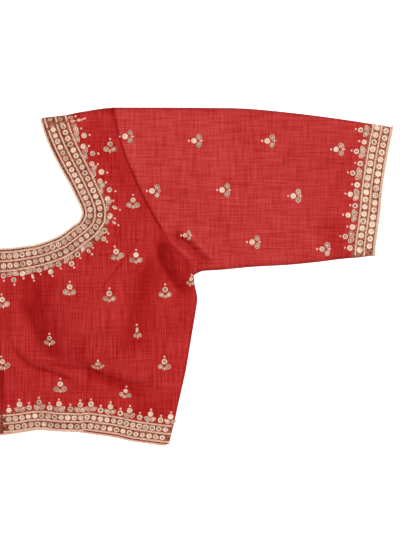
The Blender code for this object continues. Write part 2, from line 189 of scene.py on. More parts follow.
creases = (  # the finer ones, in the same columns
    ("bust crease core", 2.5, 4.5, -1.3,
     ((44, -97), (62, -102), (80, -106), (98, -108), (122, -117), (150, -126), (190, -132))),
    ("light line to the side", 4.0, 4.0, 0.5, ((149, -124), (166, -116), (184, -108))),
    ("roll edge", 2.0, 4.0, -1.0, ((8, -70), (18, -88), (32, -102), (52, -110), (76, -118), (94, -130))),
    ("flank hollow edge", 9.0, 4.0, -0.9, ((20, -20), (24, -44), (36, -66), (46, -92))),
    ("flank upper edge", 4.0, 8.0, -0.6, ((20, -10), (38, -1), (62, -6), (72, -18))),
    ("side ripple one", 5.0, 7.0, -0.8, ((154, 6), (166, -22), (168, -50), (160, -84), (160, -114))),
    ("side ripple two", 6.0, 5.0, 0.5, ((183, -26), (184, -60), (178, -92))),
    ("middle ridge", 6.0, 6.0, 0.35, ((129, -8), (128, -50), (130, -94))),
    ("small side crease", 2.5, 4.0, -0.6, ((164, -58), (182, -64), (202, -70))),
    ("ripple by the dart", 3.0, 3.0, -0.6, ((149, 12), (160, 7), (168, 10), (174, 22), (182, 34))),
    ("sleeve fold edge", 6.0, 3.0, 0.6, ((187, 52), (204, 52), (216, 43), (234, 26), (246, 16))),
    ("sleeve fold hollow", 2.5, 6.0, -0.8, ((192, 47), (206, 43), (219, 32), (231, 20))),
    ("light band by the seam", 3.0, 3.0, 0.7, ((198, 39), (210, 28), (222, 16), (234, 9))),
    ("underarm hollow", 6.0, 3.0, -1.2, ((183, 39), (191, 23), (200, 11), (214, 3))),
    ("underarm ridge", 4.0, 3.0, 0.8, ((178, 32), (190, 15), (203, 0), (206, -16))),
    ("sleeve band", 3.0, 5.0, -0.6, ((198, 70), (216, 66), (232, 62))),
    ("sleeve diagonal", 4.0, 7.0, -0.7, ((188, 80), (196, 93), (212, 103), (232, 110))),
    ("sleeve long crease", 4.0, 7.0, -0.6, ((324, 178), (336, 158), (325, 138), (313, 120), (309, 106))),
    ("sleeve short crease", 3.0, 3.0, -0.5, ((374, 166), (388, 150))),
    ("cuff slant", 5.0, 7.0, -0.6, ((396, 128), (384, 106), (372, 88))),
    ("cuff upright", 6.0, 6.0, -0.35, ((384, 94), (388, 62), (387, 34))),
    ("top edge hollow", 3.0, 3.0, -0.6, ((200, 188), (222, 189), (242, 187))),
    ("sleeve lower slant", 7.0, 5.0, -0.5, ((236, 54), (246, 38), (252, 24))),
    ("crumpled neck corner", 3.0, 4.0, -0.9, ((86, 54), (104, 58), (124, 61), (142, 60))),
    ("neck corner ridge", 4.0, 4.0, 0.6, ((90, 66), (110, 70), (130, 70))),
    ("neck slant", 5.0, 3.0, -0.5, ((40, 0), (58, 10), (76, 22))),
    ("placket edge", 1.5, 1.5, -0.3, ((7.5, -14), (7.0, -50), (7.5, -96))),
    ("underarm crumple one", 1.6, 1.8, 0.45, ((220, 6), (228, 11), (238, 14), (247, 8))),
    ("underarm crumple two", 1.8, 1.8, -0.5, ((222, 14), (232, 18), (246, 16))),
    ("underarm crumple three", 1.6, 2.2, 0.4, ((206, 24), (222, 25), (242, 24))),
    ("side ripple three", 4.0, 6.0, -0.5, ((142, 18), (146, -14), (146, -46), (142, -78))),
    ("upper side ripple", 3.5, 5.0, -0.4, ((176, 8), (182, -20), (190, -46))),
    ("armhole dart", 1.5, 1.5, -1.0, ((183, 56), (160, 45), (148, 30), (139, 18), (122, -4), (106, -28))),
    ("waist dart", 1.3, 1.3, -0.35, ((98, -104), (98, -124), (98, -154), (100, -186))),
)

paintedShadingLines = (  # painted light and shade: how much paler or darker the silk is drawn there, in the same columns
    ("right of the bust", 19.0, 13.0, -0.28,
     ((180, 34), (166, -6), (158, -34), (153, -60), (150, -84), (150, -100))),
    ("armpit", 15.0, 3.6, -0.44, ((187, 58), (184, 42), (183, 26), (191, 8), (203, -10), (222, -30))),
    ("armpit on the sleeve", 2.6, 18.0, -0.22, ((192, 56), (206, 51), (222, 37), (236, 23), (250, 10))),
    ("pale line along the armhole", 2.6, 2.6, 0.16, ((188, 49), (202, 35), (216, 25), (224, 15))),
    ("pale edge of the fold", 3.0, 2.0, 0.08, ((206, 54), (222, 42), (236, 28), (248, 16))),
    ("left flank", 16.0, 13.0, -0.20, ((52, 8), (44, -9), (42, -28), (45, -50), (54, -72), (66, -90))),
    ("upper left flank", 9.0, 8.0, -0.16, ((26, 16), (31, 0), (30, -20), (29, -42), (36, -62))),
    ("above the roll", 7.0, 6.0, -0.10, ((54, -70), (59, -84), (72, -98))),
    ("along the roll", 2.6, 2.6, -0.12,
     ((12, -80), (20, -91), (33, -103), (54, -110), (78, -119), (96, -132))),
    ("along the crease", 2.8, 3.0, -0.11,
     ((40, -96), (60, -101), (82, -106), (100, -109), (124, -118), (152, -128), (188, -134))),
    ("lap edge", 1.6, 1.6, -0.40, ((2.6, -94), (2.8, -110), (3.0, -130), (3.0, -152))),
    ("sleeve upper band", 5.0, 5.0, -0.08, ((192, 154), (222, 155), (254, 153))),
    ("sleeve middle band", 5.0, 5.0, -0.06, ((192, 97), (226, 95), (262, 96))),
    ("below the neck border", 8.0, 8.0, -0.14, ((34, 6), (48, 5), (62, 8))),
    ("beside the centre", 9.0, 9.0, -0.14, ((7, 2), (7, -20), (8, -50), (12, -76))),
    ("upper bust", 8.0, 8.0, 0.12, ((72, 18), (76, -2), (74, -24))),
    ("sleeve head", 10.0, 12.0, 0.08, ((142, 206), (146, 170), (154, 140), (166, 100))),
    ("sleeve corner by the cuff", 13.0, 13.0, -0.17, ((374, 74), (386, 40), (394, 4))),
    ("shoulder top", 10.0, 10.0, 0.12, ((84, 186), (106, 186), (128, 184))),
    ("upper front", 16.0, 16.0, 0.07, ((84, 8), (104, 6), (126, 4))),
    ("strap", 17.0, 17.0, -0.03, ((112, 186), (118, 140), (126, 90), (136, 44), (132, 20))),
    ("below the crease", 8.0, 8.0, -0.15, ((90, -108), (118, -117), (136, -124), (158, -134), (186, -140))),
    ("roll", 7.0, 7.0, -0.10, ((48, -80), (64, -88), (78, -100))),
    ("lower corner", 12.0, 14.0, -0.17, ((140, -156), (166, -156), (198, -154))),
    ("side below the motif", 10.0, 10.0, -0.06, ((176, -94), (190, -100), (204, -100))),
    ("sleeve towards the cuff", 46.0, 46.0, -0.08, ((366, 190), (376, 150), (384, 90), (390, 20))),
)
foldEdgePaintedShade = {"change": 0.45, "width": 1.8}   # painted shade, darker right along the folded edges
seam = {  # width and depth of the groove along the armhole, which fades past a share of its length, and the depth and width of the shade painted along it
    "dips": ((0.8, 0.9), (2.4, 0.35)), "fades": 0.75, "from": 0.66, "over": 0.12,
    "paintedShading": 0.29, "paintedShadingWidth": 1.3,
}
cockle = {"count": 16, "shortest": 16.0, "longest": 70.0, "height": 0.075, "bend": 0.6, "seed": 11}


def bell(gap, width):
    return np.exp(-(gap / width)**2)


def lineRelief(points, table):  # each line's bell across it, tapering to nothing at its ends
    total = np.zeros(len(points))
    for _, leftWidth, rightWidth, height, marks in table:
        line = smoothLine(marks)
        reach = cloth["lineReach"] * (leftWidth + rightWidth)
        near = np.all((points > line.min(axis=0) - reach) & (points < line.max(axis=0) + reach), axis=1)
        gap, along = nearest(points[near], line)
        taper = ease(np.minimum(along, 1 - along) / cloth["lineTaper"])
        total[near] += height * taper * bell(gap, np.where(gap > 0, leftWidth, rightWidth))
    return total


def cockleRelief(points):  # faint uneven ripples of the whole cloth
    draw = np.random.RandomState(cockle["seed"])
    total = np.zeros(len(points))
    for _ in range(cockle["count"]):
        turn, phase = draw.uniform(0, math.tau, 2)
        wave = math.tau / draw.uniform(cockle["shortest"], cockle["longest"])
        along = points @ (math.cos(turn), math.sin(turn))
        across = points @ (-math.sin(turn), math.cos(turn))
        bend = np.sin(across * wave * cockle["bend"] + phase)
        total += cockle["height"] * np.sin(along * wave + phase + bend)
    return total


def broadRelief(points):
    total = np.zeros(len(points))
    for _, x, y, lessX, moreX, lessY, moreY, height in swellings:
        dx, dy = points[:, 0] - x, points[:, 1] - y
        reach = (dx / np.where(dx < 0, lessX, moreX))**2 + (dy / np.where(dy < 0, lessY, moreY))**2
        total += height * np.clip(1 - reach, 0, 1)**2
    return total + lineRelief(points, folds)


def alongArmhole(points):  # distance from the seam, and how much of its groove is left there
    gap, along = nearest(onLeftHalf(points), lines["armhole"])
    return gap, 1 - seam["fades"] * ease((along - seam["from"]) / seam["over"])


def openHeight(points):  # outer surface without the round edge; the lap at the centre stays even
    x = points[:, 0]
    left = ease((x - cloth["leftClear"]) / cloth["clearFade"])
    right = ease((-x - cloth["rightClear"]) / cloth["clearFade"]) * cloth["otherShare"]
    mirrored = points * (-1, 1) + cloth["otherShift"]
    broad = left * broadRelief(points) + right * broadRelief(mirrored)
    fine = cloth["creaseShare"] * (left * lineRelief(points, creases) + right * lineRelief(mirrored, creases))
    fine += cloth["cockleShare"] * np.maximum(left, right) * cockleRelief(points)
    gap, keeps = alongArmhole(points)
    for width, depth in seam["dips"]:
        fine -= depth * keeps * bell(gap, width)
    return np.maximum(np.maximum(cloth["base"] + broad, cloth["least"]) + fine, cloth["leastCreased"])


def edgeDistance(points):  # in from the nearest folded edge, on either half
    half = onLeftHalf(points)
    return np.min([np.abs(nearest(half, line)[0]) for line in foldedEdges], axis=0)


def nose(share):
    return np.sqrt(1 - (1 - np.clip(share, 0, 1))**2)


def topHeight(points, rim=cloth["frontRim"]):
    return rim + (openHeight(points) - rim) * nose(edgeDistance(points) / cloth["noseWidth"])


def underHeight(points, rim=cloth["backRim"]):
    return rim * (1 - nose(edgeDistance(points) / rim))


def leftFrontHeight(points):  # this front lies on the right one at the centre
    near, far = cloth["lapNear"], cloth["lapFar"]
    return topHeight(points) + cloth["lapRise"] * (1 - ease((np.abs(points[:, 0]) - near) / (far - near)))


def sleeveHeight(points):
    return topHeight(points, cloth["noseLow"])


# Plan grids of the cloth pieces

mesh = {
    "columns": 22, "sideRows": 14, "armholeRows": 15, "shoulderRows": 6, "finer": 6, "backFiner": 3,
    "coarseRounds": 300, "fineRounds": 40, "sleeveStep": 2.0, "lowerStep": 4.0, "firstStep": 2.0,
    "edgeSteps": (0.0, 0.04, 0.25, 0.7, 1.3),  # in from a folded edge or an armhole
    "edgeShare": 0.8,                          # the most of the last cell that these steps take
}


def halfOutline(neckX, hemX, neckDrop=0.0):
    neck, hem = lines["neck"], lines["hem"]
    if neckDrop:
        neck = movedSideways(neck, -neckDrop)
        neck[-1] = atFractions(lines["shoulder"], nearest(neck[-1:], lines["shoulder"])[1])[0]
    return [np.vstack([[x, line[0, 1]], line[line[:, 0] > x + mesh["firstStep"]]])
            for x, line in ((hemX, hem), (neckX, neck))]


def outerChain(shoulderStart, fine):  # up the side seam, armhole and shoulder, with even steps on each
    stretches = ((lines["side"], mesh["sideRows"], 0.0), (lines["armhole"], mesh["armholeRows"], 0.0),
                 (lines["shoulder"], mesh["shoulderRows"], shoulderStart))
    chain = [atFractions(line, np.linspace(1, end, rows * fine + 1))[:-1] for line, rows, end in stretches]
    return np.vstack(chain + [atFractions(lines["shoulder"], [shoulderStart])])


def relaxed(grid, rounds):  # elliptic smoothing of the inside of a plan grid
    for _ in range(rounds):
        across = (grid[1:-1, 2:] - grid[1:-1, :-2]) / 2
        upwards = (grid[2:, 1:-1] - grid[:-2, 1:-1]) / 2
        weightAcross = np.sum(upwards**2, axis=2, keepdims=True)
        weightUp = np.sum(across**2, axis=2, keepdims=True)
        shear = np.sum(across * upwards, axis=2, keepdims=True)
        corners = grid[2:, 2:] - grid[2:, :-2] - grid[:-2, 2:] + grid[:-2, :-2]
        sums = (weightAcross * (grid[1:-1, 2:] + grid[1:-1, :-2])
                + weightUp * (grid[2:, 1:-1] + grid[:-2, 1:-1]) - shear * corners / 2)
        grid[1:-1, 1:-1] = sums / (2 * (weightAcross + weightUp))
    return grid


def finerGrid(grid, factor):
    for axis in (0, 1):
        cells = grid.shape[axis] - 1
        place = np.linspace(0, cells, cells * factor + 1)
        low = np.minimum(place.astype(int), cells - 1)
        shape = [1, 1, 1]
        shape[axis] = -1
        share = (place - low).reshape(shape)
        grid = np.take(grid, low, axis) * (1 - share) + np.take(grid, low + 1, axis) * share
    return grid


def withEdgeColumns(grid):
    inner, edge = grid[:, -2], grid[:, -1]
    width = np.linalg.norm(edge - inner, axis=1)
    columns = list(np.moveaxis(grid[:, :-1], 1, 0))
    for step in reversed(mesh["edgeSteps"]):
        depth = np.minimum(step, mesh["edgeShare"] * width * step / mesh["edgeSteps"][-1])
        columns.append(edge + (inner - edge) * (depth / width)[:, None])
    return np.stack(columns, axis=1)


def between(first, last, start, end, along, across):  # a grid that has these four lines as its edges
    v, u = along[:, None, None], across[None, :, None]
    corners = (1 - v) * ((1 - u) * first[0] + u * first[-1]) + v * ((1 - u) * last[0] + u * last[-1])
    return (1 - v) * first + v * last + (1 - u) * start[:, None] + u * end[:, None] - corners


def bodyPlan(neckX, hemX, fine, neckDrop=0.0):
    hem, neck = halfOutline(neckX, hemX, neckDrop)
    shoulderStart = nearest(neck[-1:], lines["shoulder"])[1][0]
    outer = outerChain(shoulderStart, 1)
    across, along = np.linspace(0, 1, mesh["columns"] + 1), np.linspace(0, 1, len(outer))
    centre = hem[0] + along[:, None] * (neck[0] - hem[0])
    coarse = between(atFractions(hem, across), atFractions(neck, across), centre, outer, along, across)
    plan = finerGrid(relaxed(coarse, mesh["coarseRounds"]), fine)
    fractions = np.linspace(0, 1, plan.shape[1])
    plan[0], plan[-1] = atFractions(hem, fractions), atFractions(neck, fractions)
    plan[:, -1] = outerChain(shoulderStart, fine)
    return withEdgeColumns(relaxed(plan, mesh["fineRounds"]))


def sleeveSide(spacing):  # stations from armhole to cuff by rows from the top fold to the under fold
    armhole, top, under, cuff = (lines[name] for name in ("armhole", "sleeveTop", "sleeveUnder", "cuff"))
    width, length = runLengths(armhole)[-1], runLengths(top)[-1]
    ends = np.array(mesh["edgeSteps"])
    middle = np.arange(ends[-1] + spacing, width - ends[-1] - spacing / 2, spacing)
    rows = np.concatenate([ends, middle, width - ends[::-1]]) / width
    further = np.linspace(ends[-1], length, round(length / mesh["sleeveStep"]))[1:]
    stations = np.concatenate([ends, further]) / length
    return between(atFractions(armhole, rows), atFractions(cuff, rows), atFractions(top, stations),
                   atFractions(under, stations), stations, rows)


def lifted(plan, heights):
    flat = plan.reshape(-1, 2)
    return np.column_stack([flat, heights(flat)]).reshape(*plan.shape[:2], 3)


# Materials. Constant values go straight on the shader, and patterns read object coordinates in metres.

def addNode(tree, kind, inputs=None, **settings):
    made = tree.nodes.new(kind)
    for key, value in settings.items():
        setattr(made, key, value)
    for key, value in (inputs or {}).items():
        if isinstance(value, bpy.types.NodeSocket):
            tree.links.new(value, made.inputs[key])
        else:
            made.inputs[key].default_value = value
    return made


def calculated(tree, operation, first, second, clamp=False):
    inputs = {0: first, 1: second}
    return addNode(tree, "ShaderNodeMath", inputs, operation=operation, use_clamp=clamp).outputs[0]


def weighted(tree, *parts):  # the sum of values times their weights
    products = [calculated(tree, "MULTIPLY", value, weight) for value, weight in parts]
    total = products[0]
    for product in products[1:]:
        total = calculated(tree, "ADD", total, product)
    return total


def blended(tree, share, first, second):
    return addNode(tree, "ShaderNodeMix", {0: share, 6: first, 7: second}, data_type="RGBA").outputs[2]


def contrasted(tree, value, limits):
    inputs = {"Value": value, "From Min": limits[0], "From Max": limits[1]}
    return addNode(tree, "ShaderNodeMapRange", inputs).outputs[0]


def attribute(tree, name):
    return addNode(tree, "ShaderNodeAttribute", attribute_name=name).outputs["Fac"]


def noise(tree, coordinates, scale, detail=2.0):
    inputs = {"Vector": coordinates, "Scale": scale, "Detail": detail}
    return addNode(tree, "ShaderNodeTexNoise", inputs).outputs[0]


def streaks(tree, turn, sizes, detail=2.0):  # noise drawn out along the threads
    at = addNode(tree, "ShaderNodeTexCoord").outputs["Object"]
    placed = addNode(tree, "ShaderNodeMapping", {"Vector": at, "Rotation": (0, 0, turn), "Scale": sizes})
    return noise(tree, placed.outputs[0], 1.0, detail)


def newMaterial(name, **constants):
    made = bpy.data.materials.new(name)
    made.use_nodes = True
    shader = made.node_tree.nodes["Principled BSDF"]
    for key, value in constants.items():
        shader.inputs[key.replace("_", " ")].default_value = value
    return made, made.node_tree, shader


def finishMaterial(tree, shader, colour, height, distance, strength):
    bump = addNode(tree, "ShaderNodeBump", {"Height": height, "Distance": distance, "Strength": strength})
    tree.links.new(colour, shader.inputs["Base Color"])
    tree.links.new(bump.outputs[0], shader.inputs["Normal"])


silk = {
    "warp": (640.0, 30.0, 1.0), "weft": (28.0, 600.0, 1.0),    # thin lines and long slubs, cycles a metre
    "fineWarp": (2600.0, 160.0, 1.0), "fineWeft": (150.0, 2300.0, 1.0), "blotch": (9.0, 11.0, 9.0),
    "weights": {"slub": 0.72, "fine": 0.12, "blotch": 0.16}, "contrast": (0.38, 0.62),
    "roughness": 0.5, "shine": 0.28, "glow": (1.0, 0.15, 0.13, 1), "deeper": 3.5,
    "bump": 0.00022, "bumpStrength": 0.8, "fineBump": 0.6,
    "stitch": (520.0, 520.0, 520.0), "stitchContrast": (0.42, 0.60), "groundAndShadeShare": 0.9,
    "body": {
        "dark": (0.312, 0.001, 0.001, 1), "light": (0.499, 0.036, 0.033, 1), "turn": 0.0, "warp": 0.64,
        "groundAndShadeDark": (0.120, 0.022, 0.010, 1), "groundAndShadeLight": (0.355, 0.145, 0.085, 1)},
    # the sleeve's paler, pinker colours paint the sheen that its silk shows with the grain turned across
    "sleeve": {
        "dark": (0.362, 0.010, 0.009, 1), "light": (0.566, 0.061, 0.056, 1), "turn": -0.06, "warp": 0.50,
        "groundAndShadeDark": (0.130, 0.040, 0.018, 1), "groundAndShadeLight": (0.470, 0.230, 0.140, 1)},
}


def silkMaterial(name, side, mirrored=False):
    made, tree, shader = newMaterial(name, Roughness=silk["roughness"], Specular_IOR_Level=silk["shine"],
                                     Specular_Tint=silk["glow"])
    turn = side["turn"] * (-1 if mirrored else 1)
    warp, weft, blotch = (streaks(tree, turn, silk[kind]) for kind in ("warp", "weft", "blotch"))
    fineWarp, fineWeft = (streaks(tree, turn, silk[kind], 0.0) for kind in ("fineWarp", "fineWeft"))
    parts = {"slub": weighted(tree, (warp, side["warp"]), (weft, 1 - side["warp"])),
             "fine": weighted(tree, (fineWarp, 0.5), (fineWeft, 0.5)), "blotch": blotch}
    mixed = weighted(tree, *((parts[kind], weight) for kind, weight in silk["weights"].items()))
    colour = blended(tree, contrasted(tree, mixed, silk["contrast"]), side["dark"], side["light"])
    # painted light and shade: the cloth's attribute scales the colour
    paintedShading = attribute(tree, "paintedShading")
    deeper = calculated(tree, "POWER", paintedShading, silk["deeper"])    # where shade is painted, the red is also purer
    paintedShadingScales = addNode(tree, "ShaderNodeCombineXYZ", {0: paintedShading, 1: deeper, 2: deeper}).outputs[0]
    paintedShaded = addNode(tree, "ShaderNodeVectorMath", {0: colour, 1: paintedShadingScales}, operation="MULTIPLY").outputs[0]
    stitches = contrasted(tree, streaks(tree, turn, silk["stitch"]), silk["stitchContrast"])
    groundAndShade = blended(tree, stitches, side["groundAndShadeDark"], side["groundAndShadeLight"])    # the stitched ground under dense embroidery, with painted shade between its raised pieces
    share = calculated(tree, "MULTIPLY", attribute(tree, "groundAndShade"), silk["groundAndShadeShare"])
    colour = blended(tree, share, paintedShaded, groundAndShade)
    height = weighted(tree, (parts["slub"], 1.0), (parts["fine"], silk["fineBump"]))
    finishMaterial(tree, shader, colour, height, silk["bump"], silk["bumpStrength"])
    return made


thread = {
    "strands": 2.2, "shade": 0.7, "bump": 0.00012, "ownWidth": 5.3, "ownDepth": 9.1,
    "coinCentre": {  # the dark ring inside a coin, from and to shares of its radius
        "from": -0.25, "varies": 0.55, "to": 0.58, "soft": 0.2, "least": 0.35,
        "colour": (0.16, 0.07, 0.035, 1)},
    "petalCentre": {
        "from": 0.3, "varies": 0.2, "to": 0.75, "soft": 0.2, "least": 0.5, "colour": (0.20, 0.09, 0.05, 1)},
}


def darkCentre(tree, colour, shade, centre):  # its width and depth differ from piece to piece
    rim = attribute(tree, "rim")
    own, other = (calculated(tree, "FRACT", calculated(tree, "MULTIPLY", shade, thread[key]), 0.0)
                  for key in ("ownWidth", "ownDepth"))
    start = calculated(tree, "ADD", calculated(tree, "MULTIPLY", own, centre["varies"]), centre["from"])
    inside, outside = (
        calculated(tree, "DIVIDE", calculated(tree, "SUBTRACT", rim, edge), centre["soft"], clamp=True)
        for edge in (start, centre["to"]))
    deep = calculated(tree, "MULTIPLY", other, 1 - centre["least"])
    deep = calculated(tree, "MULTIPLY", inside, calculated(tree, "ADD", deep, centre["least"]))
    shadow = calculated(tree, "MULTIPLY", deep, calculated(tree, "SUBTRACT", 1.0, outside))
    return blended(tree, shadow, colour, centre["colour"])


def threadMaterial(name, dark, light, grain, metallic, roughness, middle, centre=None):
    # noise for the strands, and the shade and the tone of each piece
    made, tree, shader = newMaterial(name, Roughness=roughness, Metallic=metallic)
    strands = noise(tree, addNode(tree, "ShaderNodeTexCoord").outputs["Object"], grain)
    shade, tone = attribute(tree, "shade"), attribute(tree, "tone")
    mixed = weighted(tree, (strands, thread["strands"]), (shade, thread["shade"]), (tone, 1.0))
    even = middle - (thread["strands"] + thread["shade"]) / 2
    colour = blended(tree, calculated(tree, "ADD", mixed, even, clamp=True), (*dark, 1), (*light, 1))
    if centre:
        colour = darkCentre(tree, colour, shade, thread[centre])
    finishMaterial(tree, shader, colour, strands, thread["bump"], 1.0)
    return made


threads = {  # dark and light colour, strands a metre, metallic, roughness, middle tone, dark centre
    "ringZari": ((0.42, 0.20, 0.12), (0.90, 0.60, 0.45), 900.0, 0.05, 0.5, 0.6),
    "discZari": ((0.36, 0.22, 0.13), (1.0, 0.75, 0.58), 700.0, 0.1, 0.5, 0.6, "coinCentre"),
    "petalRimZari": ((0.42, 0.18, 0.11), (0.90, 0.60, 0.46), 900.0, 0.05, 0.5, 0.6),
    "petalZari": ((0.38, 0.155, 0.09), (0.82, 0.53, 0.39), 700.0, 0.05, 0.5, 0.6, "petalCentre"),
    "cordZari": ((0.84, 0.48, 0.35), (1.0, 0.83, 0.68), 500.0, 0.0, 0.6, 0.7),
    "beadPearl": ((0.80, 0.30, 0.23), (1.0, 0.56, 0.46), 500.0, 0.0, 0.45, 0.65),
    "neckTissue": ((0.66, 0.44, 0.28), (1.0, 0.84, 0.66), 900.0, 0.05, 0.5, 0.65),
    "hemTissue": ((0.60, 0.30, 0.20), (0.98, 0.66, 0.50), 900.0, 0.05, 0.5, 0.6),
    "cuffTissue": ((0.55, 0.36, 0.22), (1.0, 0.78, 0.58), 900.0, 0.05, 0.5, 0.6),
}
materials = {
    "bodySilk": silkMaterial("bodySilk", silk["body"]),
    "sleeveSilkPaintedSheenLeft": silkMaterial("sleeveSilkPaintedSheenLeft", silk["sleeve"]),
    "sleeveSilkPaintedSheenRight": silkMaterial("sleeveSilkPaintedSheenRight", silk["sleeve"], mirrored=True),
    **{name: threadMaterial(name, *finish) for name, finish in threads.items()},
}
print("materials ready:", ", ".join(materials))


# Cloth shells

mergeWithin = 0.004 * mm


def addMeshObject(name, data, materialName):
    made = bpy.data.objects.new(name, data)
    data.materials.clear()
    data.materials.append(materials[materialName])
    bpy.context.scene.collection.objects.link(made)
    return made


def pointValues(data, label, values, kind="FLOAT"):
    layer = data.attributes.new(label, kind, "POINT").data
    layer.foreach_set("value" if kind == "FLOAT" else "vector", values.astype(np.float32).ravel())


borderGroundsAndShade = {  # from, full to, fades over, side
    "neck": (0.0, 27.0, 7.0, -1), "hem": (4.0, 21.5, 6.0, 1), "cuff": (0.0, 22.5, 7.0, -1)}
groundAndShadeEdge = {"starts": 1.5, "above": 0.2}


def groundAndShadeAmount(points, names):  # how dense the borders' embroidery is over each point of the upper side, which also sets the painted shade between its raised pieces
    shade = np.zeros(len(points))
    for name in names:
        start, full, fade, side = borderGroundsAndShade[name]
        inward = side * nearest(onLeftHalf(points), finished[name])[0]
        begun = ease((inward - start + groundAndShadeEdge["starts"]) / groundAndShadeEdge["starts"])
        shade = np.maximum(shade, (1 - ease((inward - full) / fade)) * begun)
    return shade * (points[:, 2] > cloth["frontRim"] + groundAndShadeEdge["above"])


# painted light and shade on the silk: its lines, shade along the folded edges and shade in the armhole's
# groove
def paintedSilkShading(points):
    paintedShading = 1.0 + lineRelief(onLeftHalf(points), paintedShadingLines)
    paintedShading -= foldEdgePaintedShade["change"] * bell(edgeDistance(points), foldEdgePaintedShade["width"])
    gap, keeps = alongArmhole(points)
    return paintedShading - seam["paintedShading"] * keeps * bell(gap, seam["paintedShadingWidth"])


def clothShell(name, points, materialName, outwardsUp, borderNames=(), joinedRound=False, mirrored=False):
    rows, columns = points.shape[:2]
    sheet = bmesh.new()
    bmesh.ops.create_grid(sheet, x_segments=columns - 1, y_segments=rows - 1, size=1.0)
    for vertex in sheet.verts:
        column = round((vertex.co.x + 1) / 2 * (columns - 1))
        row = round((vertex.co.y + 1) / 2 * (rows - 1))
        vertex.co = points[row, column] * mm
    if joinedRound:
        bmesh.ops.remove_doubles(sheet, verts=sheet.verts, dist=mergeWithin)
    if not outwardsUp:
        bmesh.ops.reverse_faces(sheet, faces=sheet.faces)
    data = bpy.data.meshes.new(name)
    sheet.to_mesh(data)
    sheet.free()
    data.shade_smooth()
    places = np.empty(len(data.vertices) * 3)
    data.vertices.foreach_get("co", places)
    places = places.reshape(-1, 3) / mm
    # the embroidery's ground with its painted shade, then the painted light and shade of the silk
    pointValues(data, "groundAndShade", groundAndShadeAmount(places, borderNames))
    pointValues(data, "paintedShading", paintedSilkShading(places))
    made = addMeshObject(name, data, materialName)
    if mirrored:
        mirror = made.modifiers.new("other half", "MIRROR")
        mirror.merge_threshold = mergeWithin
    wall = made.modifiers.new("wall", "SOLIDIFY")
    wall.thickness = cloth["wall"] * mm
    wall.offset = -1.0
    return made


lapNeckX, lapHemX, lap = cloth["lapNeckX"], cloth["lapHemX"], cloth["lap"]
frontLeft = lifted(bodyPlan(lapNeckX, lapHemX, mesh["finer"]), leftFrontHeight)
frontRight = lifted(bodyPlan(-lapNeckX - lap, -lapHemX - lap, mesh["finer"]) * (-1, 1), topHeight)
backHalf = lifted(bodyPlan(0.0, 0.0, mesh["backFiner"], cloth["backNeckDrop"]), underHeight)
backHalf[:, 0, 0] = 0.0
sleeveOver = lifted(sleeveSide(mesh["sleeveStep"]), sleeveHeight)
sleeveBelow = lifted(sleeveSide(mesh["lowerStep"]), lambda points: underHeight(points, cloth["noseLow"]))
sleeveRing = np.concatenate([sleeveOver, sleeveBelow[:, -2:0:-1], sleeveOver[:, :1]], axis=1)
shells = {
    "frontLeft": clothShell("frontLeftSilk", frontLeft, "bodySilk", True, ("neck", "hem")),
    "frontRight": clothShell("frontRightSilk", frontRight, "bodySilk", False, ("neck", "hem")),
    "back": clothShell("backSilk", backHalf, "bodySilk", False, mirrored=True),
    "sleeveLeft": clothShell(
        "sleeveLeftSilk", sleeveRing, "sleeveSilkPaintedSheenLeft", True, ("cuff",), joinedRound=True),
    "sleeveRight": clothShell(
        "sleeveRightSilk", sleeveRing * (-1, 1, 1), "sleeveSilkPaintedSheenRight", False, ("cuff",), joinedRound=True),
}
print("cloth laid:", {name: len(shell.data.polygons) for name, shell in shells.items()})


# Embroidery. Each kind of small piece is one tree that puts it on a cloud of points; cords follow curves.

stitched = {
    "coinRing": {"Radius": 2.7, "Thread": 0.65, "Stretch": 1.0, "Taper": 0.0},
    "coinDisc": {"Radius": 2.65, "Height": -0.3, "Stretch": 1.0, "Taper": 0.0},
    "petalRing": {"Radius": 2.0, "Thread": 0.5, "Stretch": 1.6, "Taper": 0.4},
    "petalDisc": {"Radius": 1.95, "Height": 0.3, "Stretch": 1.6, "Taper": 0.4},
    "bead": {"Radius": 1.45, "Flatten": 0.75},
    "cord": {"Strand": 0.72, "Pitch": 3.8, "Step": 0.8, "Sides": 5},
    "piping": {"Radius": 1.1, "Step": 1.5, "Sides": 10},
    "unevenSize": 0.07, "unevenTilt": 0.16,
    "discLift": 0.8, "petalLift": 0.35, "ringLift": 0.45, "beadLift": 0.5, "cordLift": 0.45,
    "ringSteps": 12, "threadSteps": 4, "beadSegments": 8, "beadRings": 5, "strandApart": 0.85,
    "sizeDraw": 7, "shadeDraw": 13,  # what keeps these random draws apart from the tilt's
}


def newTree(name, sizes, counts):  # a tree with a geometry, these named inputs and a material
    tree = bpy.data.node_groups.new(name, "GeometryNodeTree")
    sockets = [("Geometry", "Geometry"), *((label, "Float") for label in sizes),
               *((label, "Int") for label in counts), ("Material", "Material")]
    for label, kind in sockets:
        tree.interface.new_socket(label, in_out="INPUT", socket_type=f"NodeSocket{kind}")
    tree.interface.new_socket("Geometry", in_out="OUTPUT", socket_type="NodeSocketGeometry")
    return tree, tree.nodes.new("NodeGroupInput").outputs


def finishTree(tree, source, geometry):
    real = addNode(tree, "GeometryNodeRealizeInstances", {"Geometry": geometry})
    smooth = addNode(tree, "GeometryNodeSetShadeSmooth", {"Geometry": real.outputs[0]})
    coated = {"Geometry": smooth.outputs[0], "Material": source["Material"]}
    addNode(tree, "NodeGroupOutput", {0: addNode(tree, "GeometryNodeSetMaterial", coated).outputs[0]})
    return tree


def centreDistance(tree):
    place = addNode(tree, "GeometryNodeInputPosition").outputs[0]
    return addNode(tree, "ShaderNodeVectorMath", {0: place}, operation="LENGTH").outputs["Value"]


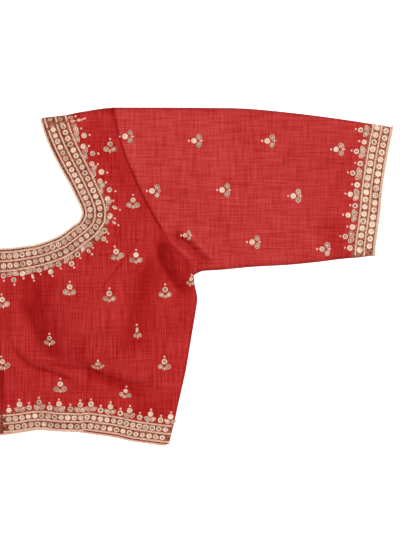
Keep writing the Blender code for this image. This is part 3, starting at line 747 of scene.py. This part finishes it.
def shapedCircle(tree, source, geometry, centreHeight=None):
    # stretched along X, narrower towards +X by the taper; a disc's middle is moved by its height
    place = addNode(tree, "GeometryNodeInputPosition").outputs[0]
    split = addNode(tree, "ShaderNodeSeparateXYZ", {0: place}).outputs
    share = calculated(tree, "DIVIDE", split[0], source["Radius"])
    narrow = calculated(tree, "SUBTRACT", 1.0, calculated(tree, "MULTIPLY", share, source["Taper"]))
    x = calculated(tree, "MULTIPLY", split[0], source["Stretch"])
    y = calculated(tree, "MULTIPLY", split[1], narrow)
    z = split[2]
    if centreHeight is not None:
        away = calculated(tree, "DIVIDE", centreDistance(tree), source["Radius"])
        z = calculated(tree, "MULTIPLY", calculated(tree, "SUBTRACT", 1.0, away), centreHeight)
    shaped = addNode(tree, "ShaderNodeCombineXYZ", {0: x, 1: y, 2: z}).outputs[0]
    return addNode(tree, "GeometryNodeSetPosition", {"Geometry": geometry, "Position": shaped}).outputs[0]


def pointVector(tree, name):
    stored = addNode(tree, "GeometryNodeInputNamedAttribute", {"Name": name}, data_type="FLOAT_VECTOR")
    return stored.outputs[0]


def drawn(tree, source, more, low, high):  # a random value for each point
    inputs = {"Seed": calculated(tree, "ADD", source["Seed"], more), 2: low, 3: high}
    return addNode(tree, "FunctionNodeRandomValue", inputs, data_type="FLOAT").outputs[1]


def marked(tree, geometry, name, value, domain):
    inputs = {"Geometry": geometry, "Name": name, "Value": value}
    stored = addNode(tree, "GeometryNodeStoreNamedAttribute", inputs, data_type="FLOAT", domain=domain)
    return stored.outputs[0]


def onPoints(tree, source, shape):  # turned by the points' own directions, each a little uneven
    align = "FunctionNodeAlignRotationToVector"
    upright = addNode(tree, align, {"Vector": pointVector(tree, "up")}, axis="Z").outputs[0]
    turned = addNode(tree, align, {"Rotation": upright, "Vector": pointVector(tree, "ahead")},
                     axis="X", pivot_axis="Z")
    most = stitched["unevenTilt"]
    tilt = addNode(tree, "FunctionNodeRandomValue", {"Seed": source["Seed"], 0: [-most] * 3, 1: [most] * 3},
                   data_type="FLOAT_VECTOR")
    turn = addNode(tree, "FunctionNodeEulerToRotation", {0: tilt.outputs[0]})
    tilted = addNode(tree, "FunctionNodeRotateRotation", {0: turned.outputs[0], 1: turn.outputs[0]},
                     rotation_space="LOCAL")
    vary = drawn(tree, source, stitched["sizeDraw"], 1 - stitched["unevenSize"], 1 + stitched["unevenSize"])
    size = pointVector(tree, "size")
    scale = addNode(tree, "ShaderNodeVectorMath", {0: size, "Scale": vary}, operation="SCALE").outputs[0]
    placed = addNode(tree, "GeometryNodeInstanceOnPoints", {
        "Points": source["Geometry"], "Instance": shape, "Rotation": tilted.outputs[0], "Scale": scale})
    shade = drawn(tree, source, stitched["shadeDraw"], 0.0, 1.0)
    return marked(tree, placed.outputs[0], "shade", shade, "INSTANCE")


def circleCurve(tree, steps, radius):
    inputs = {"Resolution": steps, "Radius": radius}
    return addNode(tree, "GeometryNodeCurvePrimitiveCircle", inputs).outputs[0]


def ringTree():
    tree, source = newTree("sewnRing", ("Radius", "Thread", "Stretch", "Taper"), ("Seed",))
    line = shapedCircle(tree, source, circleCurve(tree, stitched["ringSteps"], source["Radius"]))
    thread = circleCurve(tree, stitched["threadSteps"], source["Thread"])
    ring = addNode(tree, "GeometryNodeCurveToMesh", {"Curve": line, "Profile Curve": thread})
    return finishTree(tree, source, onPoints(tree, source, ring.outputs[0]))


def discTree():
    tree, source = newTree("sewnDisc", ("Radius", "Height", "Stretch", "Taper"), ("Seed",))
    inputs = {"Vertices": stitched["ringSteps"], "Radius": source["Radius"]}
    disc = addNode(tree, "GeometryNodeMeshCircle", inputs, fill_type="TRIANGLE_FAN").outputs[0]
    rim = calculated(tree, "DIVIDE", centreDistance(tree), source["Radius"])
    shaped = shapedCircle(tree, source, marked(tree, disc, "rim", rim, "POINT"), source["Height"])
    return finishTree(tree, source, onPoints(tree, source, shaped))


def beadTree():
    tree, source = newTree("sewnBead", ("Radius", "Flatten"), ("Seed",))
    ball = addNode(tree, "GeometryNodeMeshUVSphere", {
        "Segments": stitched["beadSegments"], "Rings": stitched["beadRings"], "Radius": source["Radius"]})
    low = addNode(tree, "ShaderNodeCombineXYZ", {0: 1.0, 1: 1.0, 2: source["Flatten"]})
    pressed = addNode(tree, "GeometryNodeTransform", {"Geometry": ball.outputs[0], "Scale": low.outputs[0]})
    return finishTree(tree, source, onPoints(tree, source, pressed.outputs[0]))


def followed(tree, source, profile, tilt=None):
    inputs = {"Curve": source["Geometry"], "Length": source["Step"]}
    fine = addNode(tree, "GeometryNodeResampleCurve", inputs, mode="LENGTH").outputs[0]
    line = addNode(tree, "GeometryNodeSetCurveNormal", {"Curve": fine}, mode="Z_UP").outputs[0]
    if tilt is not None:
        line = addNode(tree, "GeometryNodeSetCurveTilt", {"Curve": line, "Tilt": tilt}).outputs[0]
    tube = {"Curve": line, "Profile Curve": profile, "Fill Caps": True}
    return addNode(tree, "GeometryNodeCurveToMesh", tube).outputs[0]


def cordTree():  # two strands twisted round each other
    tree, source = newTree("twistedCord", ("Strand", "Pitch", "Step"), ("Sides",))
    strand = circleCurve(tree, source["Sides"], source["Strand"])
    join = tree.nodes.new("GeometryNodeJoinGeometry")
    for side in (-1, 1):
        away = calculated(tree, "MULTIPLY", source["Strand"], side * stitched["strandApart"])
        aside = addNode(tree, "ShaderNodeCombineXYZ", {0: away}).outputs[0]
        moved = addNode(tree, "GeometryNodeTransform", {"Geometry": strand, "Translation": aside})
        tree.links.new(moved.outputs[0], join.inputs[0])
    run = addNode(tree, "GeometryNodeSplineParameter").outputs["Length"]
    tilt = calculated(tree, "MULTIPLY", calculated(tree, "DIVIDE", run, source["Pitch"]), math.tau)
    return finishTree(tree, source, followed(tree, source, join.outputs[0], tilt))


def pipingTree():
    tree, source = newTree("roundPiping", ("Radius", "Step"), ("Sides",))
    ring = circleCurve(tree, source["Sides"], source["Radius"])
    return finishTree(tree, source, followed(tree, source, ring))


trees = {
    "ring": ringTree(), "disc": discTree(), "bead": beadTree(), "cord": cordTree(), "piping": pipingTree()}


def madePlain(holder, tree, settings, materialName, seed=None):  # runs the tree and keeps only its mesh
    modifier = holder.modifiers.new("made", "NODES")
    modifier.node_group = tree
    values = {key: value if isinstance(value, int) or key in ("Stretch", "Taper", "Flatten") else value * mm
              for key, value in settings.items()}
    values.update({"Seed": seed, "Material": materials[materialName]})
    for item in tree.interface.items_tree:
        if item.in_out == "INPUT" and item.name in values:
            modifier[item.identifier] = values[item.name]
    bpy.context.scene.collection.objects.link(holder)
    graph = bpy.context.evaluated_depsgraph_get()
    data = bpy.data.meshes.new_from_object(holder.evaluated_get(graph), depsgraph=graph)
    name, source = holder.name, holder.data
    bpy.data.objects.remove(holder)
    (bpy.data.curves if isinstance(source, bpy.types.Curve) else bpy.data.meshes).remove(source)
    data.name = name
    return addMeshObject(name, data, materialName)


def sewnPieces(name, table, kind, lift, tree, materialName, seed):  # table as placesOn gives it
    at = table[:, :3] + table[:, 3:6] * lift
    data = bpy.data.meshes.new(name)
    data.from_pydata((at * mm).tolist(), [], [])
    for label, columns in (("up", slice(3, 6)), ("ahead", slice(6, 9)), ("size", slice(9, 12))):
        pointValues(data, label, table[:, columns], "FLOAT_VECTOR")
    pointValues(data, "tone", table[:, 12])
    return madePlain(bpy.data.objects.new(name, data), trees[tree], stitched[kind], materialName, seed)


def curveHolder(name, paths, closed=False):
    data = bpy.data.curves.new(name, "CURVE")
    data.dimensions = "3D"
    for path in paths:
        spline = data.splines.new("POLY")
        spline.points.add(len(path) - 1)
        places = np.column_stack([path * mm, np.ones(len(path))])
        spline.points.foreach_set("co", places.astype(np.float32).ravel())
        spline.use_cyclic_u = closed
    return bpy.data.objects.new(name, data)


# Where the embroidery lies on each cloth

def placesOn(heights, points, headings, more):  # rows of x, y, z, normal and heading, then what is given
    probe = sewing["probe"]
    z = heights(points)
    slopeX = (heights(points + (probe, 0)) - heights(points - (probe, 0))) / (2 * probe)
    slopeY = (heights(points + (0, probe)) - heights(points - (0, probe))) / (2 * probe)
    normal = unit(np.column_stack([-slopeX, -slopeY, np.ones(len(z))]))
    ahead = unit(np.column_stack([headings, headings[:, 0] * slopeX + headings[:, 1] * slopeY]))
    return np.column_stack([points, z, normal, ahead, more])


def liftedPath(heights, points, lift):
    table = placesOn(heights, points, np.ones_like(points), points)
    return table[:, :3] + table[:, 3:6] * lift


# Distances are in from the finished edge, places are along it from its start. Coins are rows of distance,
# first place and pitch. Scale and shift change the distances along the edge; tone makes coins paler or
# dimmer there. Narrow gives the width of a few of the triads' coins by their number.
borders = {
    "neck": {
        "cords": (5.3, 16.0, 28.0), "coins": ((10.3, 7.0, 7.24), (22.0, 7.0, 7.40)),
        "coinSize": (1.0, 1.0, 1.0), "petalSize": (1.12, 1.2, 1.0),
        "single": 34.0, "triad": 40.0, "petals": 32.6, "bead": 5.9,
        "singlesAt": (6.5, 28.4, 48.0, 71.2, 95.9, 114.0, 137.5, 156.0, 176.0, 198.0, 220.0, 242.5, 264.0),
        "triadsAt": (17.5, 38.7, 59.5, 84.5, 108.2, 129.6, 151.5, 168.2, 188.9, 210.7, 233.4, 255.6),
        "narrow": {1: 0.5, 4: 0.65, 6: 0.45, 7: 0.6},
        "scale": ((0.0, 0.95), (0.1, 0.92), (0.2, 0.875), (0.3, 0.89), (0.38, 0.87), (0.43, 0.85),
                  (0.465, 0.955), (0.6, 0.97), (0.75, 1.02), (1.0, 1.05)),
        "shift": ((0.0, 0.0), (0.5, 0.0), (0.6, 0.4), (1.0, 0.4)),
        "tone": ((0.0, 0.2), (0.12, 0.1), (0.22, -0.1), (0.36, -0.15), (0.47, -0.15), (0.52, 0.1),
                 (1.0, 0.1))},
    "hem": {
        "cords": (4.3, 13.9, 22.9), "coins": ((8.7, 10.9, 7.61), (18.3, 9.3, 7.56)),
        "coinSize": (1.02, 0.92, 1.0), "petalSize": (1.05, 1.1, 1.0),
        "single": 28.4, "triad": 33.8, "petals": 28.2, "bead": 5.1,
        "singlesAt": (10.8, 34.2, 57.8, 81.8, 116.7, 139.5, 162.3, 186.6),
        "triadsAt": (23.5, 46.0, 68.9, 93.1, 105.5, 127.9, 150.3, 174.5, 197.5),
        "narrow": {},
        "scale": ((0.0, 1.0), (1.0, 1.0)),
        "shift": ((0.0, -0.6), (0.1, -1.4), (0.2, -1.4), (0.33, -2.3), (0.45, -2.3), (0.495, 0.2),
                  (1.0, 0.0)),
        "tone": ((0.0, 0.15), (0.2, 0.05), (0.42, 0.05), (0.5, 0.25), (1.0, 0.25))},
    "cuff": {
        "cords": (2.3, 13.2, 23.2), "coins": ((7.6, 6.4, 8.36), (18.4, 5.0, 8.34)),
        "coinSize": (1.08, 1.06, 1.0), "petalSize": (1.2, 1.3, 1.0),
        "single": 29.7, "triad": 36.4, "petals": 29.8, "bead": 5.8,
        "singlesAt": (23.9, 49.1, 73.8, 97.9, 122.6, 146.7),
        "triadsAt": (11.0, 35.9, 61.0, 85.4, 109.4, 134.0),
        "narrow": {},
        "scale": ((0.0, 1.0), (1.0, 1.0)),
        "shift": ((0.0, 0.0), (1.0, 0.0)),
        "tone": ((0.0, 0.5), (1.0, 0.5))},
}
petalSpread = {"along": 3.5, "turn": math.radians(62), "tone": 0.0}
motif = {
    "bodyTone": 0.15, "sleeveTone": 0.45, "bead": 5.9, "stem": 8.6, "stemSize": (1.6, 0.5, 0.6),
    "petalsBack": 6.2, "petalsAside": 3.9, "petalTurn": math.radians(60), "petalSize": (1.15, 1.2, 1.0),
    "petalTone": -0.2,
}
# The front ends at the shoulder seam, and the back's border comes over the shoulder as far as that seam.
frontEnds = ((20, 158), (54.6, 169.4), (65.0, 175.7), (76.8, 177.8), (98, 181.2), (140, 186))
wrapped = {  # x, y, width, height, tone; the low tones paint the shade on the back's pieces over the shoulder
    "coins": ((56.9, 179.9, 0.9, 0.6, -0.1), (68.6, 180.4, 0.95, 0.6, -0.1), (80.5, 182.6, 1.0, 0.6, 0.0),
              (70.4, 175.6, 0.9, 0.45, -0.3), (59.5, 172.9, 0.8, 0.45, -0.3)),
    "petals": ((83.4, 178.4, 0.9, 0.8, -0.3), (84.6, 173.6, 0.9, 0.8, -0.3), (90.8, 179.6, 0.9, 0.7, 0.1)),
    "beads": ((86.2, 183.8), (97.0, 181.4)), "beadSize": (0.9, 0.8, 0.8), "heading": (1.0, 0.1),
    "cords": (((50.6, 181.0), (54.0, 170.2)), ((63.2, 182.6), (65.0, 176.8)), ((74.6, 184.4), (76.6, 178.6)),
              ((93.6, 180.2), (97.0, 181.4))),
}

bodyMotifs = (  # x, y, degrees that the bead's direction is turned from +Y, width and height from above
    (125.9, 152.1, 0), (152.4, 87.7, 0), (132.8, 28.4, 14), (155.8, 24.5, 0), (79.9, -12.3, 0),
    (125.4, -19.8, 0), (189.2, -15.2, 0), (219.1, -3.1, -8, 0.6, 0.8), (2.1, -26.7, 8),
    (56.6, -71.0, 0, 0.85, 0.85), (157.0, -61.4, 4, 0.6), (2.3, -98.0, 15), (112.1, -100.3, 0, 1.0, 0.6),
    (188.4, -98.1, 0), (68.7, -123.9, 0), (143.9, -131.9, -8, 0.9, 0.8))
sleeveMotifs = (
    (143.2, 160.8, 90), (222.3, 155.8, 90), (306.5, 155.6, 90), (385.8, 145.9, 90), (174.2, 98.1, 90),
    (254.7, 99.2, 90), (336.4, 92.3, 90), (212.2, 47.2, 90, 0.75, 0.75), (289.2, 39.4, 90), (369.7, 31.4, 90))


room = {  # how far in from the lap's edge a piece or a cord stays, and its shares at the other edges
    "piece": 2.9, "cord": 0.9, "shoulderShare": 0.7, "foldShare": 0.3,
}
sewing = {"cordStep": 1.5, "shortCordStep": 1.0, "lineEnd": 2.5, "ahead": 0.5, "probe": 0.8, "firstSeed": 3}


class Sewn:  # what is sewn on one cloth, kept as plan points until all of it is settled at once
    def __init__(self, heights, flip, keeps):
        self.heights, self.turn, self.keeps = heights, np.array((-1.0 if flip else 1.0, 1.0)), keeps
        self.groups = {"coins": [], "petals": [], "beads": []}
        self.cords = []

    def put(self, group, points, headings, size=(1, 1, 1), tone=0.0, margin=room["piece"]):
        points, headings = np.atleast_2d(points), np.atleast_2d(headings)
        paintedShadingScales = np.broadcast_to(np.reshape(tone, (-1, 1)), (len(points), 1))
        rows = np.hstack([points * self.turn, headings * self.turn, np.tile(size, (len(points), 1)), paintedShadingScales])
        self.groups[group].append(rows if margin is None else rows[self.keeps(points, margin)])

    def cord(self, points, margin=room["cord"]):
        kept = points if margin is None else points[self.keeps(points, margin)]
        self.cords.append(kept * self.turn)

    def settled(self, group):
        rows = np.vstack(self.groups[group])
        return placesOn(self.heights, rows[:, :2], rows[:, 2:4], rows[:, 4:])

    def cordPaths(self):
        return [liftedPath(self.heights, path, stitched["cordLift"]) for path in self.cords]


def turned(vector, angle):
    cosine, sine = math.cos(angle), math.sin(angle)
    x, y = vector[:, 0], vector[:, 1]
    return np.column_stack([x * cosine - y * sine, x * sine + y * cosine])


def sewBorder(sewn, edge, settings, inwardSign):
    def atShare(name, share):
        return np.interp(share, *zip(*settings[name]))

    inwards = inwardSign * leftOf(edge)
    share = runLengths(edge) / runLengths(edge)[-1]
    scale, shift = atShare("scale", share), atShare("shift", share)

    def inward(distance):
        return edge + (distance * scale + shift)[:, None] * inwards

    for distance in settings["cords"]:
        sewn.cord(evenly(inward(distance), sewing["cordStep"]))
    for distance, first, pitch in settings["coins"]:
        line = inward(distance)
        total = runLengths(line)[-1]
        fractions = np.arange(first, total - sewing["lineEnd"], pitch) / total
        points = atFractions(line, fractions)
        headings = atFractions(line, fractions + sewing["ahead"] / total) - points
        sewn.put("coins", points, headings, settings["coinSize"], atShare("tone", fractions))
    total = runLengths(inward(settings["single"]))[-1]
    for form in ("single", "triad"):
        for index, place in enumerate(settings[form + "sAt"]):
            away = (settings[form], settings["petals"], settings[form] + settings["bead"])
            centre, near, far = (atFractions(inward(distance), [place / total]) for distance in away)
            out = unit(far - centre)
            heading = turned(out, -math.pi / 2)
            thin = settings["narrow"].get(index, 1.0) if form == "triad" else 1.0
            sewn.put("coins", centre, heading, (thin, 1.0, 1.0), atShare("tone", place / total))
            sewn.put("beads", far, heading)
            for side in (-1, 1) if form == "triad" else ():
                base = near + side * petalSpread["along"] * heading
                way = turned(out, -side * petalSpread["turn"])
                sewn.put("petals", base, way, settings["petalSize"], petalSpread["tone"])


def sewMotif(sewn, margin, tone, x, y, degrees, wide=1.0, tall=1.0):
    centre = np.array([[x, y]])
    out = turned(np.array([[0.0, 1.0]]), math.radians(degrees))
    heading = turned(out, -math.pi / 2)
    sewn.put("coins", centre, heading, (wide, tall, 1.0), tone, margin)
    sewn.put("beads", centre + out * motif["bead"] * tall, heading, margin=margin)
    sewn.put("beads", centre - out * motif["stem"] * tall, out, motif["stemSize"], margin=margin)
    length, width, height = motif["petalSize"]
    for side in (-1, 1):
        base = centre - out * motif["petalsBack"] * tall + side * motif["petalsAside"] * wide * heading
        sewn.put("petals", base, turned(out, side * (math.pi - motif["petalTurn"])),
                 (length * wide, width * tall, height), motif["petalTone"], margin)


def sewWrapped(sewn):
    for group in ("coins", "petals"):
        for x, y, wide, tall, tone in wrapped[group]:
            sewn.put(group, (x, y), wrapped["heading"], (wide, tall, 1.0), tone, None)
    for place in wrapped["beads"]:
        sewn.put("beads", place, wrapped["heading"], wrapped["beadSize"], 0.0, None)
    for ends in wrapped["cords"]:
        sewn.cord(evenly(np.array(ends), sewing["shortCordStep"]), None)


def frontKeeps(side):  # inside the lap's edge at the centre and below the shoulder seam, by a margin
    shoulderSeam = smoothLine(frontEnds)
    top, bottom = lines["neck"][0, 1], lines["hem"][0, 1]

    def keeps(points, margin):
        lapEdge = side * (lapNeckX + (points[:, 1] - top) / (bottom - top) * (lapHemX - lapNeckX))
        seamY = np.interp(points[:, 0], shoulderSeam[:, 0], shoulderSeam[:, 1])
        return (points[:, 0] > lapEdge + margin) & (points[:, 1] < seamY - room["shoulderShare"] * margin)

    return keeps


def sleeveKeeps(points, margin):
    return edgeDistance(points) > room["foldShare"] * margin


sewnOn = {}
for side, flip, heights in (("Left", False, leftFrontHeight), ("Right", True, topHeight)):
    sewn = Sewn(heights, flip, frontKeeps(-1 if flip else 1))
    sewBorder(sewn, finished["neck"], borders["neck"], -1)
    sewBorder(sewn, finished["hem"], borders["hem"], 1)
    for row in bodyMotifs:
        sewMotif(sewn, room["piece"] if flip else 0.0, motif["bodyTone"], *row)
    sewWrapped(sewn)
    sewnOn["front" + side] = sewn
    sewn = Sewn(sleeveHeight, flip, sleeveKeeps)
    sewBorder(sewn, finished["cuff"], borders["cuff"], -1)
    for row in sleeveMotifs:
        sewMotif(sewn, 0.0, motif["sleeveTone"], *row)
    sewnOn["sleeve" + side] = sewn

sewnLayers = (  # name, group, sizes, lift, tree, material
    ("CoinRings", "coins", "coinRing", "ringLift", "ring", "ringZari"),
    ("CoinDiscs", "coins", "coinDisc", "discLift", "disc", "discZari"),
    ("PetalRings", "petals", "petalRing", "ringLift", "ring", "petalRimZari"),
    ("PetalDiscs", "petals", "petalDisc", "petalLift", "disc", "petalZari"),
    ("Beads", "beads", "bead", "beadLift", "bead", "beadPearl"))
embroidery = {}
seed = sewing["firstSeed"]
for where, sewn in sewnOn.items():
    places = {group: sewn.settled(group) for group in sewn.groups}
    made = []
    for label, group, kind, lift, tree, materialName in sewnLayers:
        seed += 1
        made.append(sewnPieces(where + label, places[group], kind, stitched[lift], tree, materialName, seed))
    cords = curveHolder(where + "Cords", sewn.cordPaths())
    made.append(madePlain(cords, trees["cord"], stitched["cord"], "cordZari"))
    embroidery[where] = made
print("embroidery sewn:", {where: len(made) for where, made in embroidery.items()}, "pieces")


# Piping: a fine round tube beside each cut edge, as far in from the folded edges as in the solids

pipingEdge = {"away": 1.2, "stops": 2.0, "spacing": 1.0, "pastLap": 0.8}
lapEdges = {"neck": lapNeckX, "hem": lapHemX}


def besideEdge(edge, away):
    out = movedSideways(edge[:, :2], away)
    return np.column_stack([out, np.maximum(edge[:, 2] - cloth["wall"] / 2, stitched["piping"]["Radius"])])


def addPiping(name, path, materialName, closed=False):
    return madePlain(curveHolder(name, [path], closed), trees["piping"], stitched["piping"], materialName)


def besidePanel(edgeName, edge, turn):  # along a panel's edge, as far as the rounds of its folded edges
    path = besideEdge(edge, turn * (pipingEdge["away"] if edgeName == "neck" else -pipingEdge["away"]))
    return path[edgeDistance(path[:, :2]) > pipingEdge["stops"]]


pipings = {}
for side, grid, turn in (("Left", frontLeft, 1), ("Right", frontRight, -1)):
    for edgeName, edge in (("neck", grid[-1]), ("hem", grid[0])):
        path, begin = besidePanel(edgeName, edge, turn), lapEdges[edgeName]
        out, first = path[:, 0] * turn, path[0]
        if turn < 0:  # the right front's piping starts under the left front
            begin = pipingEdge["pastLap"] - begin
            first = [np.interp(begin, out, path[:, axis]) for axis in range(3)]
        path = np.vstack([first, path[out > begin + pipingEdge["spacing"]]])
        piece = addPiping(f"{edgeName}Piping{side}", path, edgeName + "Tissue")
        pipings[f"{edgeName}_piping_{side.lower()}"] = piece
for edgeName, edge in (("neck", backHalf[-1]), ("hem", backHalf[0])):
    path = besidePanel(edgeName, edge, 1)
    path[0, 0] = 0.0
    path = np.vstack([path[:0:-1] * (-1, 1, 1), path])
    pipings[f"{edgeName}_piping_back"] = addPiping(f"{edgeName}PipingBack", path, edgeName + "Tissue")
for side, turn in (("Left", 1), ("Right", -1)):
    ring, before = sleeveRing[-1, :-1] * (turn, 1, 1), sleeveRing[-2, :-1] * (turn, 1, 1)
    out = unit(ring - before)
    inside = unit(np.cross(np.roll(ring, -1, axis=0) - np.roll(ring, 1, axis=0), out) * turn)
    path = ring + out * pipingEdge["away"] + inside * cloth["wall"] / 2
    path[:, 2] = np.maximum(path[:, 2], stitched["piping"]["Radius"])
    pipings[f"cuff_piping_{side.lower()}"] = addPiping(f"cuffPiping{side}", path, "cuffTissue", closed=True)
print("piping made:", ", ".join(pipings))


# Floor and light

studio = {
    "floorSide": 6000.0, "floorDrop": 0.3, "floorColour": (0.90, 0.90, 0.90, 1), "floorGlow": 0.75,
    "floorRoughness": 0.9, "floorShine": 0.1, "white": (1.0, 1.0, 1.0, 1), "world": 0.22,
    "key": {"place": (2600.0, 450.0, 2600.0), "size": 700.0, "power": 72.0},
    "overhead": {"place": (-200.0, 100.0, 2600.0), "size": 900.0, "power": 33.0},
}


def makeFloor():
    data = bpy.data.meshes.new("floor")
    half, z = studio["floorSide"] / 2 * mm, -studio["floorDrop"] * mm
    corners = [(x * half, y * half, z) for x, y in ((-1, -1), (1, -1), (1, 1), (-1, 1))]
    data.from_pydata(corners, [], [(0, 1, 2, 3)])
    floor = bpy.data.objects.new("floor", data)
    paper, _, _ = newMaterial(
        "floorPaper", Base_Color=studio["floorColour"], Roughness=studio["floorRoughness"],
        Specular_IOR_Level=studio["floorShine"], Emission_Color=studio["white"],
        Emission_Strength=studio["floorGlow"])
    data.materials.append(paper)
    bpy.context.scene.collection.objects.link(floor)


def makeLamp(name, settings):  # it points at the middle of the camera's view
    lamp = bpy.data.lights.new(name, "AREA")
    lamp.size = settings["size"] * mm
    lamp.energy = settings["power"]
    holder = bpy.data.objects.new(name, lamp)
    place = np.array(settings["place"])
    holder.location = place * mm
    dx, dy, dz = place - (overhead["x"], overhead["y"], 0.0)
    holder.rotation_euler = (math.atan2(math.hypot(dx, dy), dz), 0, math.atan2(dy, dx) + math.pi / 2)
    bpy.context.scene.collection.objects.link(holder)


def makeWorld():
    world = bpy.data.worlds.new("studioWorld")
    world.use_nodes = True
    background = world.node_tree.nodes["Background"]
    background.inputs["Color"].default_value = studio["white"]
    background.inputs["Strength"].default_value = studio["world"]
    bpy.context.scene.world = world
    bpy.context.scene.view_settings.view_transform = "Standard"


makeFloor()
makeWorld()
for name in ("key", "overhead"):
    makeLamp(name, studio[name])
print("floor and light set")


# What each piece is for the frame

for name, node in (("frontLeft", "front_left"), ("frontRight", "front_right"), ("back", "back"),
                   ("sleeveLeft", "sleeve_left"), ("sleeveRight", "sleeve_right")):
    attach(shells[name], "root")
    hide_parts(node)
for node, piece in pipings.items():
    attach(piece, "root")
    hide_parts(node)
for made in embroidery.values():
    for piece in made:
        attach(piece, "root")
